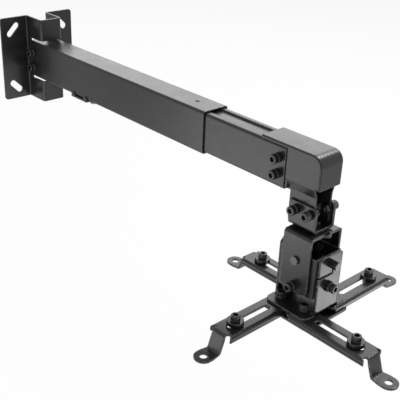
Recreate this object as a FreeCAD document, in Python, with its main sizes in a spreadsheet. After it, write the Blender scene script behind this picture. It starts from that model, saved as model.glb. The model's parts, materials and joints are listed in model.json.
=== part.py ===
import FreeCAD, Part
import math
import os
import Sketcher

# Telescopic wall arm for a projector.
# Millimetres. X runs out from the wall along the arm, Z is up, and the origin is the
# centre of the wall plate's back face.

SIZES = {
    # wall plate, one folded sheet with a raised middle
    "plate_wide": 112.0,
    "plate_tall": 114.0,
    "plate_sheet": 2.5,
    "plate_corner": 4.0,
    "hat_deep": 39.0,
    "slit_start": 10.0,
    "slit_play": 3.2,
    "wall_slot_wide": 8.5,
    "wall_slot_long": 23.0,
    "wall_slot_side": 18.0,
    "wall_slot_end": 17.0,
    "wall_bolt_out": 21.0,
    "wall_bolt_up": 10.0,
    # arm tubes
    "tube_wide": 36.0,
    "tube_tall": 50.0,
    "tube_wall": 1.5,
    "tube_corner": 3.0,
    "tube_start": 12.0,
    "tube_long": 355.0,
    "slide_gap": 0.5,
    "inner_long": 331.0,
    "inner_back": 32.0,
    "groove_wide": 17.0,
    "groove_deep": 2.0,
    "groove_stop": 34.0,
    "groove_hole": 4.0,
    "guide_back": 30.0,
    "guide_wide": 5.0,
    "clip_out": 129.0,
    "clip_long": 34.0,
    "clip_deep": 2.5,
    "clip_lobe": 7.0,
    "nub_out": 154.0,
    "nub_wide": 9.0,
    # elbow, a drawn hood that turns down into a neck
    "reach": 518.0,
    "hood_sheet": 2.0,
    "hood_rise": 3.5,
    "hood_lip": 3.3,
    "hood_overhang": 1.0,
    "hood_nose": 12.0,
    "hood_corner": 1.8,
    "hood_back": 65.0,
    "hood_side_back": 29.5,
    "hood_front": 14.0,
    "hood_face_drop": 9.0,
    "joggle_drop": 10.0,
    "neck_wide": 26.0,
    "neck_back": 24.5,
    "neck_front": 8.5,
    "neck_drop": 51.0,
    "tongue_long": 28.0,
    "tongue_tall": 40.0,
    "elbow_bolt_back": 42.0,
    "elbow_bolt_up": 8.75,
    # swivel bracket under the elbow
    "head_sheet": 2.5,
    "bracket_drop": 57.0,
    "bracket_tall": 28.0,
    "bracket_front": 13.0,
    "bracket_back": 21.5,
    "bracket_tail": 9.0,
    "bracket_tail_wide": 16.0,
    "bracket_corner": 6.0,
    "bracket_bolt_up": 19.5,
    "bracket_bolt_gap": 18.0,
    "bracket_bolt_back": 4.0,
    # swivel joint
    "swivel_bolt": 8.0,
    "swivel_head_wide": 13.0,
    "swivel_head_tall": 5.3,
    "swivel_nut_tall": 8.0,
    "disc_wide": 24.0,
    "disc_thick": 1.0,
    # yoke, tilting box and carrier
    "yoke_long": 36.0,
    "yoke_wide": 48.0,
    "yoke_tall": 67.0,
    "yoke_corner": 8.0,
    "yoke_tab": 5.5,
    "pivot_drop": 30.0,
    "pivot_bolt": 6.0,
    "pivot_head_wide": 9.0,
    "pivot_head_tall": 2.5,
    "stud_wide": 9.0,
    "stud_long": 9.0,
    "box_long": 48.0,
    "box_sheet": 2.0,
    "box_rise": 8.0,
    "box_drop": 38.0,
    "side_play": 1.0,
    "tilt_lock_radius": 30.0,
    "tilt_washer": 14.0,
    "tilt_range": 15.0,
    "roll_lock_radius": 27.0,
    "roll_range": 6.0,
    "arc_margin": 1.5,
    "carrier_wide": 35.0,
    "carrier_rise": 10.0,
    "carrier_drop": 55.0,
    "carrier_corner": 4.0,
    "base_long": 57.0,
    "base_wide": 68.0,
    "base_corner": 8.0,
    "base_relief": 0.8,
    "seam_wide": 2.2,
    "seam_drop": 13.5,
    "seam_side": 5.0,
    "clamp_long": 66.0,
    "clamp_corner": 6.0,
    "clamp_bolt_out": 16.0,
    "clamp_bolt_side": 21.5,
    # legs
    "leg_wide": 30.0,
    "leg_sheet": 2.0,
    "leg_deep": 7.0,
    "leg_back": 13.0,
    "leg_corner": 6.0,
    "leg_flange_end": 88.0,
    "leg_notch": 2.7,
    "leg_slot_wide": 7.0,
    "leg_slot_start": 17.0,
    "leg_slot_end": 77.6,
    "leg_bolt_out": 67.6,
    "neck_strip": 17.0,
    "foot_bend_in": 90.0,
    "foot_bend_out": 97.0,
    "foot_drop": 19.5,
    "foot_hole_out": 110.0,
    "foot_hole": 8.0,
    "foot_radius": 10.0,
    # M6 screws, washers and nuts
    "bolt": 6.0,
    "bolt_hole": 6.4,
    "bolt_head_wide": 10.0,
    "bolt_head_tall": 6.0,
    "bolt_tail": 1.5,
    "nut_wide": 10.0,
    "nut_tall": 5.0,
    "thread_gap": 0.1,
    "spring_washer": 10.4,
    "washer": 12.0,
    "clamp_washer": 11.0,
    "wide_washer": 18.0,
    "washer_thick": 1.6,
    # fits and bends
    "bend": 1.5,
    "seat_gap": 0.1,
    "rub_gap": 0.1,
    "pin_gap": 0.05,
}


class Length:
    """A size held both as a number and as the formula that the document keeps."""

    def __init__(self, number, formula):
        self.number = number
        self.formula = formula

    def __add__(self, other):
        return join(self, "+", other, number_of(self) + number_of(other))

    def __radd__(self, other):
        return join(other, "+", self, number_of(other) + number_of(self))

    def __sub__(self, other):
        return join(self, "-", other, number_of(self) - number_of(other))

    def __rsub__(self, other):
        return join(other, "-", self, number_of(other) - number_of(self))

    def __mul__(self, other):
        return join(self, "*", other, number_of(self) * number_of(other))

    def __rmul__(self, other):
        return join(other, "*", self, number_of(other) * number_of(self))

    def __truediv__(self, other):
        return join(self, "/", other, number_of(self) / number_of(other))

    def __neg__(self):
        return Length(-self.number, f"(-{self.formula})")


def number_of(item):
    return item.number if isinstance(item, Length) else item


def formula_of(item):
    return item.formula if isinstance(item, Length) else f"({item})"


def join(left, mark, right, number):
    return Length(number, f"({formula_of(left)} {mark} {formula_of(right)})")


def bind(thing, name, length):
    """Tie one property of an object to the sheet."""
    thing.setExpression(name, formula_of(length))


doc = FreeCAD.newDocument("WallArm")
sheet = doc.addObject("Spreadsheet::Sheet", "Sizes")


class Sizes:
    """Every named size of the sheet, as attributes."""


for row, (word, value) in enumerate(SIZES.items(), start=1):
    sheet.set(f"A{row}", word)
    sheet.set(f"B{row}", str(value))
    sheet.setAlias(f"B{row}", word)
    setattr(Sizes, word, Length(value, f"Sizes.{word}"))
doc.recompute()


# Sketches and features

PLANE_SIDE = {"XY": 1, "XZ": -1, "YZ": 1}
SIDES = (-1, 1)
Z_AXIS = FreeCAD.Vector(0, 0, 1)


def new_body(name):
    body = doc.addObject("PartDesign::Body", name)
    body.Label = name
    return body


def new_sketch(body, name, plane, offset=0.0):
    """A sketch on one of the body's own planes, moved by offset along the third axis."""
    sketch = body.newObject("Sketcher::SketchObject", name)
    origin = next(item for item in body.Origin.OriginFeatures if item.Role == f"{plane}_Plane")
    sketch.AttachmentSupport = (origin, [""])
    sketch.MapMode = "FlatFace"
    bind(sketch, "AttachmentOffset.Base.z", offset * PLANE_SIDE[plane])
    return sketch


def pin(sketch, geometry, vertex, x, y):
    """Hold one vertex of a sketch at x, y."""
    for kind, place in (("DistanceX", x), ("DistanceY", y)):
        index = sketch.addConstraint(
            Sketcher.Constraint(kind, -1, 1, geometry, vertex, float(number_of(place))))
        sketch.setExpression(f"Constraints[{index}]", formula_of(place))


def set_radius(sketch, geometry, radius):
    index = sketch.addConstraint(Sketcher.Constraint("Radius", geometry, float(number_of(radius))))
    sketch.setExpression(f"Constraints[{index}]", formula_of(radius))


def draw_circle(sketch, x, y, radius):
    middle = FreeCAD.Vector(number_of(x), number_of(y), 0)
    circle = sketch.addGeometry(Part.Circle(middle, Z_AXIS, number_of(radius)))
    pin(sketch, circle, 3, x, y)
    set_radius(sketch, circle, radius)


def draw_loop(sketch, corners):
    """A closed outline. Each corner is (x, y) or (x, y, radius of its rounding)."""
    count = len(corners)
    spots = [FreeCAD.Vector(number_of(corner[0]), number_of(corner[1]), 0) for corner in corners]
    entries, exits, middles = [], [], []
    for index, corner in enumerate(corners):
        back = (spots[index - 1] - spots[index]).normalize()
        ahead = (spots[(index + 1) % count] - spots[index]).normalize()
        radius = number_of(corner[2]) if len(corner) == 3 else 0.0
        half_angle = back.getAngle(ahead) / 2
        cut = radius / math.tan(half_angle)
        entries.append(spots[index] + back * cut)
        exits.append(spots[index] + ahead * cut)
        middles.append(spots[index] + (back + ahead).normalize() * (radius / math.sin(half_angle)))
    lines = [sketch.addGeometry(Part.LineSegment(exits[index], entries[(index + 1) % count]))
             for index in range(count)]
    for index, corner in enumerate(corners):
        before = lines[index - 1]
        after = lines[index]
        if len(corner) < 3:
            sketch.addConstraint(Sketcher.Constraint("Coincident", before, 2, after, 1))
            pin(sketch, after, 1, corner[0], corner[1])
            continue
        left_turn = (entries[index] - spots[index - 1]).cross(exits[index] - spots[index]).z > 0
        first, last = (entries[index], exits[index]) if left_turn else (exits[index], entries[index])
        turns = [math.atan2(spot.y - middles[index].y, spot.x - middles[index].x)
                 for spot in (first, last)]
        if turns[1] < turns[0]:
            turns[1] += 2 * math.pi
        circle = Part.Circle(middles[index], Z_AXIS, number_of(corner[2]))
        arc = sketch.addGeometry(Part.ArcOfCircle(circle, turns[0], turns[1]))
        vertex_in, vertex_out = (1, 2) if left_turn else (2, 1)
        sketch.addConstraint(Sketcher.Constraint("Tangent", before, 2, arc, vertex_in))
        sketch.addConstraint(Sketcher.Constraint("Tangent", arc, vertex_out, after, 1))
        set_radius(sketch, arc, corner[2])
        apex = sketch.addGeometry(Part.Point(spots[index]), True)
        pin(sketch, apex, 1, corner[0], corner[1])
        sketch.addConstraint(Sketcher.Constraint("PointOnObject", apex, 1, before))
        sketch.addConstraint(Sketcher.Constraint("PointOnObject", apex, 1, after))


def draw_slot(sketch, x, y, half_run, radius, angle=0.0):
    """A straight slot with round ends, its long axis turned by angle."""
    along = FreeCAD.Vector(math.cos(math.radians(angle)), math.sin(math.radians(angle)), 0)
    side = FreeCAD.Vector(-along.y, along.x, 0) * number_of(radius)
    arcs, ends = [], []
    for way, start in ((1, -90), (-1, 90)):
        place = (x + half_run * (way * along.x), y + half_run * (way * along.y))
        middle = FreeCAD.Vector(number_of(place[0]), number_of(place[1]), 0)
        first = math.radians(angle + start)
        circle = Part.Circle(middle, Z_AXIS, number_of(radius))
        arc = sketch.addGeometry(Part.ArcOfCircle(circle, first, first + math.pi))
        pin(sketch, arc, 3, place[0], place[1])
        set_radius(sketch, arc, radius)
        arcs.append(arc)
        ends.append(middle)
    upper = sketch.addGeometry(Part.LineSegment(ends[0] + side, ends[1] + side))
    lower = sketch.addGeometry(Part.LineSegment(ends[1] - side, ends[0] - side))
    for line, vertex, arc, arc_vertex in ((upper, 1, arcs[0], 2), (upper, 2, arcs[1], 1),
                                          (lower, 1, arcs[1], 2), (lower, 2, arcs[0], 1)):
        sketch.addConstraint(Sketcher.Constraint("Tangent", line, vertex, arc, arc_vertex))


def turned(trig, angle):
    """The sine or cosine of an angle in degrees, as a formula too."""
    name = trig.__name__
    return Length(trig(math.radians(number_of(angle))), f"{name}({formula_of(angle)})")


def draw_bow(sketch, x, y, radius, half_wide, half_angle):
    """A strip bent about x, y and centred straight below that point."""
    cosine = turned(math.cos, half_angle)
    sine = turned(math.sin, half_angle)
    swing = math.radians(number_of(half_angle))
    down = -math.pi / 2
    centre = FreeCAD.Vector(number_of(x), number_of(y), 0)
    arcs, spots = [], []
    for rim in (radius - half_wide, radius + half_wide):
        circle = Part.Circle(centre, Z_AXIS, number_of(rim))
        arc = sketch.addGeometry(Part.ArcOfCircle(circle, down - swing, down + swing))
        pin(sketch, arc, 3, x, y)
        pin(sketch, arc, 1, x - rim * sine, y - rim * cosine)
        far = x + rim * sine
        index = sketch.addConstraint(
            Sketcher.Constraint("DistanceX", -1, 1, arc, 2, float(number_of(far))))
        sketch.setExpression(f"Constraints[{index}]", formula_of(far))
        arcs.append(arc)
        low = number_of(y - rim * cosine)
        spots.append([FreeCAD.Vector(number_of(x + rim * sine * way), low, 0) for way in SIDES])
    for vertex in (1, 2):
        line = sketch.addGeometry(Part.LineSegment(spots[0][vertex - 1], spots[1][vertex - 1]))
        sketch.addConstraint(Sketcher.Constraint("Coincident", line, 1, arcs[0], vertex))
        sketch.addConstraint(Sketcher.Constraint("Coincident", line, 2, arcs[1], vertex))


def pocket_bow(body, name, plane, middle, y, radius, half_wide, half_angle, length, offset=0.0):
    """Cut a bent slot with round ends."""
    bow = new_sketch(body, name, plane, offset)
    draw_bow(bow, middle, y, radius, half_wide, half_angle)
    pocket(body, bow, length)
    ends = new_sketch(body, f"{name}_ends", plane, offset)
    for way in SIDES:
        draw_circle(ends, middle + radius * turned(math.sin, half_angle) * way,
                    y - radius * turned(math.cos, half_angle), half_wide)
    pocket(body, ends, length)


def grow(body, kind, sketch, length, both_ways=True):
    """Pad or pocket a sketch, to both sides of its plane or along its axis only."""
    feature = body.newObject(f"PartDesign::{kind}", f"{sketch.Name}_{kind.lower()}")
    feature.Profile = sketch
    feature.SideType = "Symmetric" if both_ways else "One side"
    bind(feature, "Length", length)
    return feature


def pad(body, sketch, length, both_ways=True):
    return grow(body, "Pad", sketch, length, both_ways)


def pocket(body, sketch, length):
    return grow(body, "Pocket", sketch, length)


def round_edges(body, name, radius, chosen):
    """Fillet the edges of the body so far that chosen picks."""
    doc.recompute()
    base = body.Tip
    names = [f"Edge{index}" for index, edge in enumerate(base.Shape.Edges, start=1) if chosen(edge)]
    fillet = body.newObject("PartDesign::Fillet", name)
    fillet.Base = (base, names)
    bind(fillet, "Radius", radius)
    return fillet


def runs_along(edge, axis):
    """Is this a straight edge along the axis x, y or z?"""
    if not isinstance(edge.Curve, Part.Line):
        return False
    return abs(getattr(edge.Curve.Direction, axis)) > 0.999


def near(first, second):
    return abs(first - number_of(second)) < 0.01


# Round and flat fastener pieces

TURNS = {
    "+X": FreeCAD.Rotation(FreeCAD.Vector(0, 1, 0), 90),
    "-X": FreeCAD.Rotation(FreeCAD.Vector(0, 1, 0), -90),
    "+Y": FreeCAD.Rotation(FreeCAD.Vector(1, 0, 0), -90),
    "-Y": FreeCAD.Rotation(FreeCAD.Vector(1, 0, 0), 90),
    "+Z": FreeCAD.Rotation(),
    "-Z": FreeCAD.Rotation(FreeCAD.Vector(1, 0, 0), 180),
}


def moved(spot, way, distance):
    """The spot moved by distance along a direction such as -Y."""
    sign = 1 if way[0] == "+" else -1
    return tuple(value + distance * sign if letter == way[1] else value
                 for letter, value in zip("XYZ", spot))


def stand(thing, spot, way):
    """Put the base of a round piece at spot, with its length along way."""
    thing.Placement = FreeCAD.Placement(FreeCAD.Vector(), TURNS[way])
    for letter, value in zip("xyz", spot):
        bind(thing, f"Placement.Base.{letter}", value)


def cylinder(name, radius, length, spot, way):
    thing = doc.addObject("Part::Cylinder", name)
    bind(thing, "Radius", radius)
    bind(thing, "Height", length)
    stand(thing, spot, way)
    return thing


def block(name, low, high):
    """A box between two corners."""
    thing = doc.addObject("Part::Box", name)
    for side, start, end in zip(("Length", "Width", "Height"), low, high):
        bind(thing, side, end - start)
    for letter, start in zip("xyz", low):
        bind(thing, f"Placement.Base.{letter}", start)
    return thing


def cut(name, base, tool):
    thing = doc.addObject("Part::Cut", name)
    thing.Base = base
    thing.Tool = tool
    return thing


def fuse(name, things):
    thing = doc.addObject("Part::MultiFuse", name)
    thing.Shapes = things
    return thing


def group(name, things):
    """Several separate solids under one name."""
    thing = doc.addObject("Part::Compound", name)
    thing.Links = things
    return thing


def ring(name, outer, inner, length, spot, way):
    disc = cylinder(f"{name}_disc", outer, length, spot, way)
    bore = cylinder(f"{name}_bore", inner, length, spot, way)
    return cut(name, disc, bore)


def hexagon(name, across_flats, length, spot, way):
    thing = doc.addObject("Part::Prism", name)
    thing.Polygon = 6
    bind(thing, "Circumradius", across_flats / 2 / math.cos(math.radians(30)))
    bind(thing, "Height", length)
    stand(thing, spot, way)
    return thing


def nut(name, spot, way):
    """An M6 nut that starts at spot and grows along way."""
    body = hexagon(f"{name}_hex", Sizes.nut_wide, Sizes.nut_tall, spot, way)
    bore = cylinder(f"{name}_bore", Sizes.bolt / 2 + Sizes.thread_gap / 2, Sizes.nut_tall, spot, way)
    return cut(name, body, bore)


OPPOSITE = {"+X": "-X", "-X": "+X", "+Y": "-Y", "-Y": "+Y", "+Z": "-Z", "-Z": "+Z"}


def socket_screw(name, spot, way, below):
    """An M6 socket screw: its head stands on spot along way, its shank goes the other way."""
    head = cylinder(f"{name}_head", Sizes.bolt_head_wide / 2, Sizes.bolt_head_tall, spot, way)
    shank = cylinder(f"{name}_shank", Sizes.bolt / 2, below, spot, OPPOSITE[way])
    return fuse(name, [head, shank])


def bolt_stacks(prefix, stations, washers, grip, gap=0.0):
    """Screws through grip at each station, with washers under the heads and nuts behind.

    A station is the spot on the clamped surface and the way its head faces.
    gap stays free on both sides of what turns or slides between head and nut.
    """
    screws, rings, nuts = [], [], []
    for number, (spot, way) in enumerate(stations, start=1):
        level = moved(spot, way, gap)
        for layer, width in enumerate(washers, start=1):
            name = f"{prefix}_washer_{number}_{layer}"
            rings.append(ring(name, width / 2, Sizes.bolt_hole / 2, Sizes.washer_thick, level, way))
            level = moved(level, way, Sizes.washer_thick)
        behind = grip + gap + gap
        below = Sizes.washer_thick * len(washers) + behind + Sizes.nut_tall + Sizes.bolt_tail
        screws.append(socket_screw(f"{prefix}_screw_{number}", level, way, below))
        back = OPPOSITE[way]
        nuts.append(nut(f"{prefix}_nut_{number}", moved(spot, back, grip + gap), back))
    return screws, rings, nuts


def bolt_group(prefix, stations, washers, grip, gap=0.0):
    """The same stacks as three nodes: screws, washers and nuts."""
    screws, rings, nuts = bolt_stacks(prefix, stations, washers, grip, gap)
    return [group(f"{prefix}_screws", screws), group(f"{prefix}_washers", rings),
            group(f"{prefix}_nuts", nuts)]


# Levels and widths that several pieces share

STACK = [Sizes.washer, Sizes.spring_washer]
inner_wide = Sizes.tube_wide - Sizes.tube_wall * 2 - Sizes.slide_gap * 2
inner_tall = Sizes.tube_tall - Sizes.tube_wall * 2 - Sizes.slide_gap * 2
inner_end = Sizes.reach - Sizes.inner_back
inner_start = inner_end - Sizes.inner_long
hat_half = Sizes.tube_wide / 2 - Sizes.tube_wall - Sizes.seat_gap
bolt_hole = Sizes.bolt_hole / 2
pivot_hole = Sizes.pivot_bolt / 2 + Sizes.pin_gap
bend_out = Sizes.bend + Sizes.head_sheet
axis_x = Sizes.reach
bracket_low = -Sizes.bracket_drop
yoke_top = bracket_low - Sizes.disc_thick - Sizes.rub_gap
pivot_z = yoke_top - Sizes.pivot_drop
base_top = pivot_z - Sizes.carrier_drop
leg_top = base_top - Sizes.head_sheet - Sizes.rub_gap
clamp_top = leg_top - Sizes.leg_deep - Sizes.rub_gap
box_wide = Sizes.yoke_wide - Sizes.head_sheet * 2 - Sizes.side_play * 2
CORNERS = [(across, up) for across in SIDES for up in SIDES]


def ordered(first, second, sign):
    """Two ends in rising order once both are mirrored by sign."""
    return (first, second) if sign > 0 else (-second, -first)


def make_wall_plate():
    """One sheet folded to a hat: two flanges on the wall and a deep raised middle."""
    body = new_body("wall_plate")
    out = Sizes.plate_wide / 2
    sheet_thick = Sizes.plate_sheet
    crest = Sizes.hat_deep
    outer_bend = Sizes.bend + sheet_thick
    hollow = hat_half - sheet_thick
    profile = new_sketch(body, "hat_profile", "XY")
    draw_loop(profile, [
        (0.0, out), (0.0, hollow, outer_bend), (crest - sheet_thick, hollow, Sizes.bend),
        (crest - sheet_thick, -hollow, Sizes.bend), (0.0, -hollow, outer_bend), (0.0, -out),
        (sheet_thick, -out), (sheet_thick, -hat_half, Sizes.bend), (crest, -hat_half, outer_bend),
        (crest, hat_half, outer_bend), (sheet_thick, hat_half, Sizes.bend), (sheet_thick, out),
    ])
    pad(body, profile, Sizes.plate_tall)
    round_edges(body, "flange_corners", Sizes.plate_corner,
                lambda edge: runs_along(edge, "x") and near(abs(edge.CenterOfMass.y), out))
    slots = new_sketch(body, "wall_slots", "YZ")
    slot_out = out - Sizes.wall_slot_side
    slot_up = Sizes.plate_tall / 2 - Sizes.wall_slot_end
    for across, up in CORNERS:
        draw_slot(slots, slot_out * across, slot_up * up,
                  (Sizes.wall_slot_long - Sizes.wall_slot_wide) / 2, Sizes.wall_slot_wide / 2,
                  angle=-45.0 * across * up)
    pocket(body, slots, sheet_thick * 4)
    slits = new_sketch(body, "tube_slits", "XZ")
    half_slit = Sizes.tube_wall / 2 + Sizes.slit_play
    level = Sizes.tube_tall / 2 - Sizes.tube_wall / 2
    for up in SIDES:
        low, high = ordered(level - half_slit, level + half_slit, up)
        draw_loop(slits, [(Sizes.slit_start, low), (crest + sheet_thick, low),
                          (crest + sheet_thick, high), (Sizes.slit_start, high)])
    pocket(body, slits, Sizes.tube_wide)
    holes = new_sketch(body, "hat_holes", "XZ")
    for up in SIDES:
        draw_circle(holes, Sizes.wall_bolt_out, Sizes.wall_bolt_up * up, bolt_hole)
    pocket(body, holes, Sizes.tube_wide)
    return body


def draw_tube(sketch, wide, tall, wall, corner):
    for inset in (0.0, wall):
        half_wide = wide / 2 - inset
        half_tall = tall / 2 - inset
        radius = corner - inset
        draw_loop(sketch, [(half_wide, half_tall, radius), (-half_wide, half_tall, radius),
                           (-half_wide, -half_tall, radius), (half_wide, -half_tall, radius)])


def make_outer_arm():
    body = new_body("outer_arm")
    section = new_sketch(body, "outer_section", "YZ", Sizes.tube_start)
    draw_tube(section, Sizes.tube_wide, Sizes.tube_tall, Sizes.tube_wall, Sizes.tube_corner)
    pad(body, section, Sizes.tube_long, both_ways=False)
    bolts = new_sketch(body, "outer_bolt_holes", "XZ")
    for up in SIDES:
        draw_circle(bolts, Sizes.wall_bolt_out, Sizes.wall_bolt_up * up, bolt_hole)
    pocket(body, bolts, Sizes.tube_wide * 2)
    guide = new_sketch(body, "guide_hole", "XY", Sizes.tube_tall / 2)
    draw_circle(guide, Sizes.tube_start + Sizes.tube_long - Sizes.guide_back, 0.0,
                Sizes.guide_wide / 2)
    pocket(body, guide, Sizes.tube_wall * 4)
    return body


def make_guide_screw():
    """A grub screw, flush with the outer tube's top, that runs in the inner tube's groove."""
    top = Sizes.tube_tall / 2
    groove_floor = inner_tall / 2 - Sizes.groove_deep
    spot = (Sizes.tube_start + Sizes.tube_long - Sizes.guide_back, 0.0, top)
    return cylinder("guide_screw", Sizes.guide_wide / 2 - Sizes.pin_gap,
                    top - groove_floor - Sizes.slide_gap, spot, "-Z")


def make_inner_arm():
    """The sliding tube, with a pressed groove along its top."""
    body = new_body("inner_arm")
    top = inner_tall / 2
    section = new_sketch(body, "inner_section", "YZ", inner_start)
    draw_tube(section, inner_wide, inner_tall, Sizes.tube_wall, Sizes.tube_corner)
    pad(body, section, Sizes.inner_long, both_ways=False)
    groove_end = inner_end - Sizes.groove_stop
    half_groove = Sizes.groove_wide / 2
    half_trough = half_groove + Sizes.tube_wall
    floor = top - Sizes.groove_deep
    trough = new_sketch(body, "groove_trough", "YZ", inner_start)
    draw_loop(trough, [(-half_trough, top - Sizes.tube_wall / 2),
                       (-half_trough, floor - Sizes.tube_wall),
                       (half_trough, floor - Sizes.tube_wall),
                       (half_trough, top - Sizes.tube_wall / 2)])
    pad(body, trough, groove_end - inner_start + Sizes.tube_wall, both_ways=False)
    groove = new_sketch(body, "groove", "XY", top)
    draw_loop(groove, [(inner_start - 1, -half_groove), (groove_end, -half_groove),
                       (groove_end, half_groove), (inner_start - 1, half_groove)])
    pocket(body, groove, Sizes.groove_deep * 2)
    drain = new_sketch(body, "groove_end_hole", "XY", top)
    draw_circle(drain, groove_end - Sizes.groove_hole, 0.0, Sizes.groove_hole / 2)
    pocket(body, drain, (Sizes.groove_deep + Sizes.tube_wall) * 4)
    bolts = new_sketch(body, "inner_bolt_holes", "XZ")
    for up in SIDES:
        draw_circle(bolts, axis_x - Sizes.elbow_bolt_back, Sizes.elbow_bolt_up * up, bolt_hole)
    pocket(body, bolts, Sizes.tube_wide * 2)
    return body


def make_clip():
    """A cable clip that hugs the outer tube's lower near edge."""
    half_long = Sizes.clip_long / 2
    side = -Sizes.tube_wide / 2
    low = -Sizes.tube_tall / 2
    radius = Sizes.clip_lobe / 2
    lip = Sizes.clip_deep / 2
    bar = block("clip_bar", (Sizes.clip_out - half_long, side - lip, low - Sizes.clip_deep),
                (Sizes.clip_out + half_long, side + Sizes.clip_lobe, low))
    lobes = [cylinder(f"clip_lobe_{number}", radius, lip,
                      (Sizes.clip_out + (half_long - radius) * way, side, low + lip), "-Y")
             for number, way in enumerate(SIDES, start=1)]
    clip = fuse("cable_clip", [bar] + lobes)
    nub = cylinder("nub_round", Sizes.nub_wide / 2, Sizes.clip_deep,
                   (Sizes.nub_out, side + Sizes.nub_wide / 2, low), "-Z")
    nub_dome = doc.addObject("Part::Fillet", "clip_rivet")
    nub_dome.Base = nub
    doc.recompute()
    rim = [index for index, edge in enumerate(nub.Shape.Edges, start=1)
           if near(edge.CenterOfMass.z, low - Sizes.clip_deep) and edge.Closed]
    dome = number_of(Sizes.clip_deep) * 0.8
    nub_dome.Edges = [(index, dome, dome) for index in rim]
    return [clip, nub_dome]


def hood_solid(name, inset, rear, front, drop):
    """The hood and its neck as a solid, inset by so much on the sides and the top."""
    body = new_body(name)
    half = inner_wide / 2 + Sizes.hood_overhang - inset
    neck = Sizes.neck_wide / 2 - inset
    top = inner_tall / 2 + Sizes.hood_rise - inset
    shoulder = -Sizes.hood_face_drop
    waist = shoulder - Sizes.joggle_drop
    section = new_sketch(body, f"{name}_section", "YZ", rear)
    draw_loop(section, [
        (half, top), (-half, top), (-half, shoulder), (-neck, waist),
        (-neck, -drop), (neck, -drop), (neck, waist), (half, shoulder),
    ])
    pad(body, section, front - rear, both_ways=False)
    return body


def round_nose(body, name, inset, face):
    """Round the edge where the hood's top turns down into its face."""
    top = inner_tall / 2 + Sizes.hood_rise - inset
    nose = Sizes.hood_nose - inset
    back = face - nose - 1
    low = top - nose - 1
    corner = new_sketch(body, f"{name}_nose", "XZ")
    draw_loop(corner, [(back, top), (face, top, nose), (face, low), (face + 2, low),
                       (face + 2, top + 2), (back, top + 2)])
    pocket(body, corner, Sizes.tube_wide * 2)


def round_rim(body, name, face):
    """Round the hood's top edges, its nose and its front edges in one run."""
    top = inner_tall / 2 + Sizes.hood_rise
    half = inner_wide / 2 + Sizes.hood_overhang
    nose = Sizes.hood_nose

    def on_rim(edge):
        middle = edge.CenterOfMass
        high = near(middle.z, top) or middle.x > number_of(face - nose)
        return near(abs(middle.y), half) and high and middle.z > number_of(-Sizes.hood_face_drop)

    round_edges(body, name, Sizes.hood_corner, on_rim)


def make_elbow():
    """A drawn hood over the inner tube's end that narrows into an open-fronted neck."""
    thick = Sizes.hood_sheet
    rear = axis_x - Sizes.hood_back
    side_rear = axis_x - Sizes.hood_side_back
    front = axis_x + Sizes.hood_front
    neck_rear = axis_x - Sizes.neck_back
    neck_front = axis_x + Sizes.neck_front
    top = inner_tall / 2 + Sizes.hood_rise
    shoulder = -Sizes.hood_face_drop
    waist = shoulder - Sizes.joggle_drop - thick
    low = -Sizes.neck_drop

    outside = hood_solid("hood_outside", 0.0, rear, front, Sizes.neck_drop)
    trim = new_sketch(outside, "hood_outside_trim", "XZ")
    draw_loop(trim, [(rear - 1, top - Sizes.hood_lip), (rear - 1, low - 1), (neck_rear, low - 1),
                     (neck_rear, waist), (side_rear, waist), (side_rear, top - Sizes.hood_lip)])
    draw_loop(trim, [(neck_front, shoulder), (neck_front, low - 1), (front + 1, low - 1),
                     (front + 1, shoulder)])
    pocket(outside, trim, Sizes.tube_wide * 2)
    round_nose(outside, "hood_outside", 0.0, front)
    round_rim(outside, "hood_rim", front)

    inside = hood_solid("hood_inside", thick, rear - 1, front + 1, Sizes.neck_drop + 1)
    face = front - thick
    fill = new_sketch(inside, "hood_inside_trim", "XZ")
    draw_loop(fill, [(face, top + 1), (face, shoulder), (front + 2, shoulder), (front + 2, top + 1)])
    draw_loop(fill, [(rear - 2, waist), (rear - 2, low - 2), (neck_rear + thick, low - 2),
                     (neck_rear + thick, waist)])
    pocket(inside, fill, Sizes.tube_wide * 2)
    round_nose(inside, "hood_inside", thick, face)
    shell = cut("hood_shell", outside, inside)

    tongue_out = inner_wide / 2 - Sizes.tube_wall - Sizes.seat_gap
    wall_mid = inner_wide / 2 + Sizes.hood_overhang - thick / 2
    tongues = []
    for number, side in enumerate(SIDES, start=1):
        tongue = new_body(f"elbow_tongue_{number}")
        plan = new_sketch(tongue, f"tongue_plan_{number}", "XY")
        inner = (tongue_out - thick) * side
        corners = [(side_rear - Sizes.tongue_long, inner), (side_rear + thick, inner),
                   (side_rear + thick, wall_mid * side), (side_rear, wall_mid * side),
                   (side_rear, tongue_out * side), (side_rear - Sizes.tongue_long, tongue_out * side)]
        draw_loop(plan, corners)
        pad(tongue, plan, Sizes.tongue_tall)
        tongues.append(tongue)
    blank = fuse("elbow_blank", [shell] + tongues)

    drills = []
    reach_out = Sizes.tube_wide
    for number, (x, z) in enumerate(elbow_bolt_places() + bracket_bolt_places(), start=1):
        drills.append(cylinder(f"elbow_drill_{number}", bolt_hole, reach_out * 2,
                               (x, -reach_out, z), "+Y"))
    return cut("elbow", blank, group("elbow_drills", drills))


def elbow_bolt_places():
    return [(axis_x - Sizes.elbow_bolt_back, Sizes.elbow_bolt_up * up) for up in SIDES]


def bracket_bolt_places():
    middle = axis_x - Sizes.bracket_bolt_back
    height = bracket_low + Sizes.bracket_bolt_up
    return [(middle + Sizes.bracket_bolt_gap / 2 * way, height) for way in SIDES]


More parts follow.
